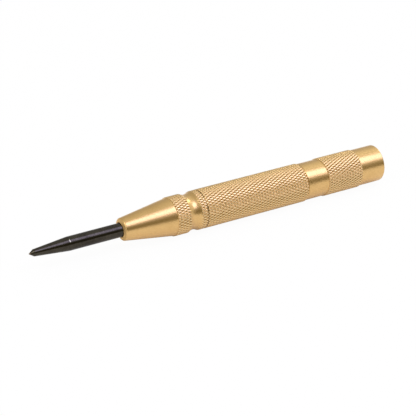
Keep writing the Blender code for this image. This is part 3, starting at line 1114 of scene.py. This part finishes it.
@dataclass
class Cap(SubAssembly):
    """The screwed cap that sets the blow, with the main spring and its seat."""

    span: Span = Span.of("adjuster_cap")
    seat_span: Span = Span.of("spring_seat")
    spring_span: Span = Span.of("main_spring")
    knurl: Knurl = Knurl(AXIS_Z, rising_depth=0.165 * MM, falling_depth=0.085 * MM, steepness=5)
    thread: Thread = Thread()
    thread_length: float = 7.0 * MM
    band_radius: float = 6.22 * MM
    band_length: float = 7.95 * MM
    knurl_length: float = 13.9 * MM
    tail_radius: float = 6.2 * MM
    end_round: float = 0.3 * MM
    edge: float = 0.2 * MM
    bore_radius: float = 3.5 * MM
    end_wall: float = 8.4 * MM
    seat_radius: float = 3.2 * MM
    seat_thickness: float = 1.6 * MM
    nub_radius: float = 2.0 * MM
    wire: float = 0.45 * MM
    coil_radius: float = 2.75 * MM
    turns: int = 14
    front_turns: int = 9

    def cap(self) -> None:
        """Builds the cap in one skin: bore, thread, plain band, knurl and rounded end."""
        screw, end = self.span.start, self.span.end
        face = screw + self.thread_length - CLOSER
        bore_end = end - self.end_wall
        knurl = screw + self.thread_length + self.band_length
        knurl_end = knurl + self.knurl_length
        root, relief = self.thread.root, face - self.thread.relief
        wide, edge = self.band_radius, self.edge
        skin = Skin(self.knurl.columns)
        inside = [(bore_end, 0.0), (bore_end, self.bore_radius), (screw, self.bore_radius)]
        inside += [(screw, root - self.thread.end_break), (screw + self.thread.end_break, root)]
        skin.turned(soften(inside))
        self.thread.cut(skin, relief)
        band = [(relief, root), (face, root), (face, wide - edge), (face + edge, wide), (knurl - LAND, wide)]
        skin.turned(soften(band)[1:])
        envelope = [(knurl, wide), (knurl + self.knurl.edge, self.knurl.crest)]
        envelope += [(knurl_end - self.knurl.edge, self.knurl.crest), (knurl_end, self.tail_radius)]
        turn = self.knurl.roll(skin, envelope)
        corner = (end - self.end_round, self.tail_radius - self.end_round)
        tail = [(knurl_end + LAND, self.tail_radius), *arc(corner, self.end_round, 90.0, 0.0)]
        skin.turned([*tail, (end, 0.0)], turn)
        self.fit(skin.mesh("screw_cap"), "adjuster_cap", Body.CAP, Slot.BRASS)

    def seat(self) -> None:
        """Builds the disc that lets the cap turn against the spring."""
        start, end = self.seat_span.start, self.seat_span.end
        face = end - self.seat_thickness
        nub, wide, edge = self.nub_radius, self.seat_radius, self.edge
        section = [(start, 0.0), (start, nub - edge), (start + edge, nub), (face, nub), (face, wide - edge)]
        section += [(face + edge, wide), (end - edge, wide), (end, wide - edge), (end, 0.0)]
        self.fit(self.turn("seat_disc", section), "spring_seat", Body.SEAT, Slot.HARD)

    def spring(self) -> None:
        """Winds the main spring in two pieces, split at one turn.
        """
        span, radius, split = self.spring_span, self.coil_radius, self.front_turns
        coil = Coil(span.start, span.end, radius, radius, self.wire, self.turns)
        front = self.place(coil.mesh("main_coil_front", 0, split), "main_spring", Slot.SPRING)
        rear = self.place(coil.mesh("main_coil_rear", split, self.turns), "main_spring", Slot.SPRING)
        meeting = (coil.middle()[split * coil.points_per_turn, 0], 0.0, AXIS_Z)
        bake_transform(front)
        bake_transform(rear)

    def build(self) -> None:
        """Builds the four pieces."""
        self.spring()
        self.seat()
        self.cap()


def hang(data: bpy.types.ID, side: Vector, back: Vector, place: Vector) -> Object:
    """Puts a lamp or the camera in the scene.

    Args:
        data: the lamp's or the camera's own settings.
        side: the direction of its right side.
        back: the direction that it looks away from.
        place: where it stands.

    Returns:
        The new object.
    """
    made = bpy.data.objects.new(data.name, data)
    turn = Matrix((side, back.cross(side), back)).transposed().to_4x4()
    made.matrix_world = Matrix.Translation(place) @ turn
    bpy.context.scene.collection.objects.link(made)
    return made


@dataclass(frozen=True)
class Softbox:
    """A broad lamp that shines on the tool from far away."""

    name: str
    direction: tuple[float, float, float]
    width: float
    height: float
    radiance: float
    colour: Colour = (1.0, 1.0, 1.0)
    distance: float = 2.0

    def build(self) -> None:
        """Hangs the lamp with its width along the tool's axis."""
        lamp = bpy.data.lights.new(self.name, "AREA")
        lamp.shape = "RECTANGLE"
        lamp.size = self.width
        lamp.size_y = self.height
        lamp.color = self.colour
        lamp.energy = self.radiance * math.pi * self.width * self.height
        back = Vector(self.direction).normalized()
        side = Vector((1.0, 0.0, 0.0))
        side = (side - side.dot(back) * back).normalized()
        hang(lamp, side, back, AXIS + back * self.distance)


@dataclass
class Studio:
    """The pale floor, the soft light and the camera."""

    azimuth: float = math.radians(-31.628)
    elevation: float = math.radians(25.528)
    distance: float = 540.68 * MM
    aim_x: float = GRIP_LOW.x - SEAM / 2
    aim_right: float = 2.969 * MM
    aim_up: float = 0.342 * MM
    lens: float = 144.753
    floor_size: float = 12.0
    floor_colour: Colour = (0.97, 0.955, 0.9)
    floor_shown: float = 0.96
    floor_mirrored: float = 0.25
    sky_dim: Colour = (0.21, 0.18, 0.095)
    sky_bright: Colour = (0.58, 0.56, 0.52)
    sky_lean: float = 0.75
    sky_range: Range = (-0.25, 0.2)
    glow_colour: Colour = (0.97, 0.97, 0.97)
    glow_side: tuple[float, float] = (0.75, 0.66)
    glow_range: Range = (0.55, 1.0)
    lamps: tuple[Softbox, ...] = (
        Softbox("key_softbox", (0.36, -0.438, 0.824), 1.3, 1.1, 3.6, (0.58, 0.56, 1.0)),
        Softbox("fill_softbox", (-0.65, -0.2, 0.72), 1.2, 1.0, 3.0),
        Softbox("rim_softbox", (0.8, 0.29, 0.53), 0.45, 0.45, 5.0),
    )

    def camera(self) -> None:
        """Places the camera at the photograph's viewing angle."""
        right = Vector((math.cos(self.azimuth), math.sin(self.azimuth), 0.0))
        level = Vector((math.sin(self.azimuth), -math.cos(self.azimuth), 0.0))
        back = level * math.cos(self.elevation) + Vector((0.0, 0.0, math.sin(self.elevation)))
        aim = AXIS + Vector((self.aim_x, 0.0, 0.0))
        aim += right * self.aim_right + back.cross(right) * self.aim_up
        data = bpy.data.cameras.new("camera")
        data.lens = self.lens
        bpy.context.scene.camera = hang(data, right, back, aim + back * self.distance)

    def floor(self) -> None:
        """Lays a pale floor that shows white and keeps a faint shadow."""
        half = self.floor_size / 2
        corners = [(-half, -half, 0.0), (half, -half, 0.0), (half, half, 0.0), (-half, half, 0.0)]
        mesh = bpy.data.meshes.new("floor")
        mesh.from_pydata(corners, [], [(0, 1, 2, 3)])
        material = bpy.data.materials.new("pale_floor")
        material.use_nodes = True
        graph = Graph(material.node_tree)
        ray = graph.node("ShaderNodeLightPath")
        mirrored = (ray["Is Glossy Ray"] + ray["Is Transmission Ray"]) * self.floor_mirrored
        seen = ray["Is Camera Ray"] * self.floor_shown + mirrored
        paint = graph.node("ShaderNodeBsdfDiffuse", {}, {"Color": self.floor_colour})["BSDF"]
        white = graph.node("ShaderNodeEmission")["Emission"]
        mixed = graph.node("ShaderNodeMixShader", {}, {0: seen, 1: paint, 2: white})
        graph.node("ShaderNodeOutputMaterial", {}, {"Surface": mixed[0]})
        mesh.materials.append(material)
        made = bpy.data.objects.new("floor", mesh)
        bpy.context.scene.collection.objects.link(made)

    def sky(self) -> None:
        """Lights the room evenly, dimmer low down on the side of the camera."""
        world = bpy.data.worlds.new("studio")
        bpy.context.scene.world = world
        world.use_nodes = True
        graph = Graph(world.node_tree)
        place = graph.node("ShaderNodeTexCoord")["Generated"]
        axes = graph.node("ShaderNodeSeparateXYZ", {}, {"Vector": place})
        share = graph.step(axes["Z"] + axes["Y"] * self.sky_lean, self.sky_range)
        walls = graph.mix(share, self.sky_dim, self.sky_bright)
        towards = axes["X"] * self.glow_side[0] + axes["Z"] * self.glow_side[1]
        colour = graph.mix(graph.step(towards, self.glow_range), walls, self.glow_colour)
        light = graph.node("ShaderNodeBackground", {}, {"Color": colour})
        graph.node("ShaderNodeOutputWorld", {}, {"Surface": light[0]})

    def build(self) -> None:
        """Sets up the whole studio."""
        bpy.context.scene.view_settings.view_transform = "Standard"
        self.camera()
        self.floor()
        self.sky()
        for lamp in self.lamps:
            lamp.build()


def finishes() -> dict[Slot, Material]:
    """Makes the finish of each slot.

    Returns:
        The materials by slot.
    """
    made = [
        BrassFinish(Slot.BRASS, (0.745, 0.495, 0.2), (0.62, 0.395, 0.145), 0.3),
        BlackFinish(Slot.BLACK, (0.063, 0.0565, 0.042), (0.035, 0.0305, 0.0245), 0.19),
        MetalFinish(Slot.HARD, (0.46, 0.45, 0.44), (0.33, 0.32, 0.31), 0.3),
        MetalFinish(Slot.SPRING, (0.36, 0.35, 0.34), (0.24, 0.23, 0.22), 0.36),
    ]
    return {finish.slot: finish.material() for finish in made}


def main() -> None:
    """Builds the tool and the studio, and reports each piece."""
    logging.basicConfig(level=logging.INFO, format="%(message)s")
    dressed = finishes()
    for kind in (PointGroup, Nose, Grip, Works, Cap):
        group = kind(dressed)
        group.build()
        for piece in group.pieces:
            LOG.info("%s: %d faces", piece.name, len(piece.data.polygons))
    Studio().build()


if __name__ == "__main__":
    main()
